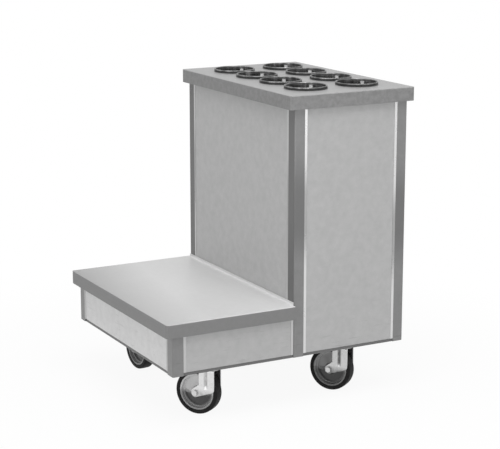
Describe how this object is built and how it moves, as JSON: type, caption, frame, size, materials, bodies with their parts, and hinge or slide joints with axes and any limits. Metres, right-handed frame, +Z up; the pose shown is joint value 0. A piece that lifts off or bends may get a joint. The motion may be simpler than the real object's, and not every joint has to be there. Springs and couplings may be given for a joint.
{
  "type": "flatware and tray cart",
  "caption": "Serving cart on swivel casters: a tall cabinet with lift-out flatware cylinders in its top and a low flat tray shelf beside it.",
  "frame": {"origin": "on the floor, under the middle of the cart's bounding box", "axes": "+Z up; +X along the cart, from the tray shelf to the cabinet; +Y across the cart, away from the long side called the front"},
  "size_m": [0.763, 0.657, 0.8809],
  "materials": {
    "sheet_steel": "satin",
    "post_paint": "satin grey",
    "rail_paint": "satin grey",
    "channel_steel": "plain rolled",
    "panel_paint": "satin grey",
    "trim_metal": "bright",
    "cylinder_steel": "drawn and polished",
    "collar_plastic": "moulded black",
    "caster_steel": "bright zinc plate",
    "fastener_steel": "bright zinc plate",
    "wheel_plastic": "moulded grey",
    "tyre_rubber": "matt black"
  },
  "bodies": {
    "cart_body": {"cabinet_top": "sheet_steel", "shelf_top": "sheet_steel", "post_inner_front": "post_paint", "post_inner_back": "post_paint", "post_outer_front": "post_paint", "post_outer_back": "post_paint", "post_shelf_front": "post_paint", "post_shelf_back": "post_paint", "base_rail_cabinet_front": "rail_paint", "base_rail_cabinet_back": "rail_paint", "base_rail_cabinet_outer": "rail_paint", "base_rail_cabinet_inner": "rail_paint", "base_rail_shelf_front": "rail_paint", "base_rail_shelf_back": "rail_paint", "base_rail_shelf_end": "rail_paint", "cabinet_top_frame": "rail_paint", "shelf_frame": "rail_paint", "shelf_stiffeners": "channel_steel", "caster_channel_shelf": "channel_steel", "caster_channel_cabinet": "channel_steel", "panel_inner": "panel_paint", "panel_front": "panel_paint", "panel_back": "panel_paint", "panel_outer": "panel_paint", "shelf_panel_front": "panel_paint", "shelf_panel_back": "panel_paint", "shelf_panel_end": "panel_paint", "cabinet_panel_trims": "trim_metal", "shelf_panel_trims": "trim_metal", "caster_plate_front_left": "caster_steel", "caster_plate_front_right": "caster_steel", "caster_plate_back_left": "caster_steel", "caster_plate_back_right": "caster_steel", "plate_bolts": "fastener_steel", "swivel_ball_races": "fastener_steel", "cylinder_collars": "collar_plastic"},
    "cylinder_1": {"flatware_cylinder_1": "cylinder_steel"},
    "cylinder_2": {"flatware_cylinder_2": "cylinder_steel"},
    "cylinder_3": {"flatware_cylinder_3": "cylinder_steel"},
    "cylinder_4": {"flatware_cylinder_4": "cylinder_steel"},
    "cylinder_5": {"flatware_cylinder_5": "cylinder_steel"},
    "cylinder_6": {"flatware_cylinder_6": "cylinder_steel"},
    "cylinder_7": {"flatware_cylinder_7": "cylinder_steel"},
    "cylinder_8": {"flatware_cylinder_8": "cylinder_steel"},
    "swivel_front_left": {"fork_front_left": "caster_steel", "axle_front_left": "fastener_steel"},
    "roller_front_left": {"wheel_front_left": "wheel_plastic", "tyre_front_left": "tyre_rubber"},
    "swivel_front_right": {"fork_front_right": "caster_steel", "axle_front_right": "fastener_steel"},
    "roller_front_right": {"wheel_front_right": "wheel_plastic", "tyre_front_right": "tyre_rubber"},
    "swivel_back_left": {"fork_back_left": "caster_steel", "axle_back_left": "fastener_steel"},
    "roller_back_left": {"wheel_back_left": "wheel_plastic", "tyre_back_left": "tyre_rubber"},
    "swivel_back_right": {"fork_back_right": "caster_steel", "axle_back_right": "fastener_steel"},
    "roller_back_right": {"wheel_back_right": "wheel_plastic", "tyre_back_right": "tyre_rubber"}
  },
  "joints": [
    {"name": "lift_cylinder_1", "type": "slide", "parent": "cart_body", "child": "cylinder_1", "axis": [0, 0, 1], "range_m": [0, 0.16]},
    {"name": "lift_cylinder_2", "type": "slide", "parent": "cart_body", "child": "cylinder_2", "axis": [0, 0, 1], "range_m": [0, 0.16]},
    {"name": "lift_cylinder_3", "type": "slide", "parent": "cart_body", "child": "cylinder_3", "axis": [0, 0, 1], "range_m": [0, 0.16]},
    {"name": "lift_cylinder_4", "type": "slide", "parent": "cart_body", "child": "cylinder_4", "axis": [0, 0, 1], "range_m": [0, 0.16]},
    {"name": "lift_cylinder_5", "type": "slide", "parent": "cart_body", "child": "cylinder_5", "axis": [0, 0, 1], "range_m": [0, 0.16]},
    {"name": "lift_cylinder_6", "type": "slide", "parent": "cart_body", "child": "cylinder_6", "axis": [0, 0, 1], "range_m": [0, 0.16]},
    {"name": "lift_cylinder_7", "type": "slide", "parent": "cart_body", "child": "cylinder_7", "axis": [0, 0, 1], "range_m": [0, 0.16]},
    {"name": "lift_cylinder_8", "type": "slide", "parent": "cart_body", "child": "cylinder_8", "axis": [0, 0, 1], "range_m": [0, 0.16]},
    {"name": "swivel_front_left", "type": "hinge", "parent": "cart_body", "child": "swivel_front_left", "pos_m": [-0.2165, -0.2495, 0.14], "axis": [0, 0, 1], "continuous": true},
    {"name": "spin_front_left", "type": "hinge", "parent": "swivel_front_left", "child": "roller_front_left", "pos_m": [-0.23648, -0.22199, 0.0635], "axis": [0.809, 0.5878, 0], "continuous": true},
    {"name": "swivel_front_right", "type": "hinge", "parent": "cart_body", "child": "swivel_front_right", "pos_m": [0.2085, -0.2495, 0.14], "axis": [0, 0, 1], "continuous": true},
    {"name": "spin_front_right", "type": "hinge", "parent": "swivel_front_right", "child": "roller_front_right", "pos_m": [0.18949, -0.22131, 0.0635], "axis": [0.829, 0.5592, 0], "continuous": true},
    {"name": "swivel_back_left", "type": "hinge", "parent": "cart_body", "child": "swivel_back_left", "pos_m": [-0.2165, 0.2495, 0.14], "axis": [0, 0, 1], "continuous": true},
    {"name": "spin_back_left", "type": "hinge", "parent": "swivel_back_left", "child": "roller_back_left", "pos_m": [-0.21354, 0.21563, 0.0635], "axis": [-0.9962, -0.0872, 0], "continuous": true},
    {"name": "swivel_back_right", "type": "hinge", "parent": "cart_body", "child": "swivel_back_right", "pos_m": [0.2085, 0.2495, 0.14], "axis": [0, 0, 1], "continuous": true},
    {"name": "spin_back_right", "type": "hinge", "parent": "swivel_back_right", "child": "roller_back_right", "pos_m": [0.22287, 0.21869, 0.0635], "axis": [-0.9063, -0.4226, 0], "continuous": true}
  ]
}
